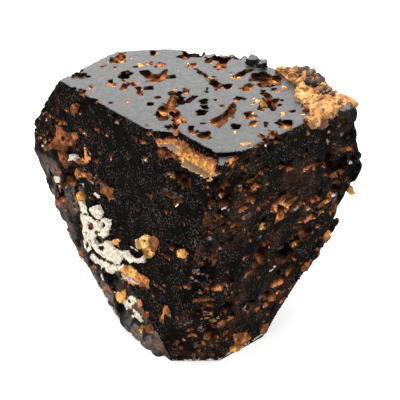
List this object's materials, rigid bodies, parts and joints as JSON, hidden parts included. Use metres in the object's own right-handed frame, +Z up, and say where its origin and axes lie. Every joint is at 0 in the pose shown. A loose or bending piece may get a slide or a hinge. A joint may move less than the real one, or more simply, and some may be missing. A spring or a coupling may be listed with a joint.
{
  "type": "tourmaline crystal",
  "caption": "Dark blocky uvite tourmaline crystal with a flat pitted top, steep front faces, a broken stepped corner and a lumpy ochre crust, narrowing to a small flat spot below.",
  "frame": {"origin": "middle of the crystal's outline seen from above, at the height of the flat spot it rests on", "axes": "+Z up, +X along the longest side of the outline, +Y from the front ridge towards the back"},
  "size_m": [0.0408, 0.0358, 0.0328],
  "materials": {
    "uvite_crystal": "glassy dark mineral with brown pits"
  },
  "bodies": {
    "root": {"uvite_crystal": "uvite_crystal"}
  },
  "joints": []
}
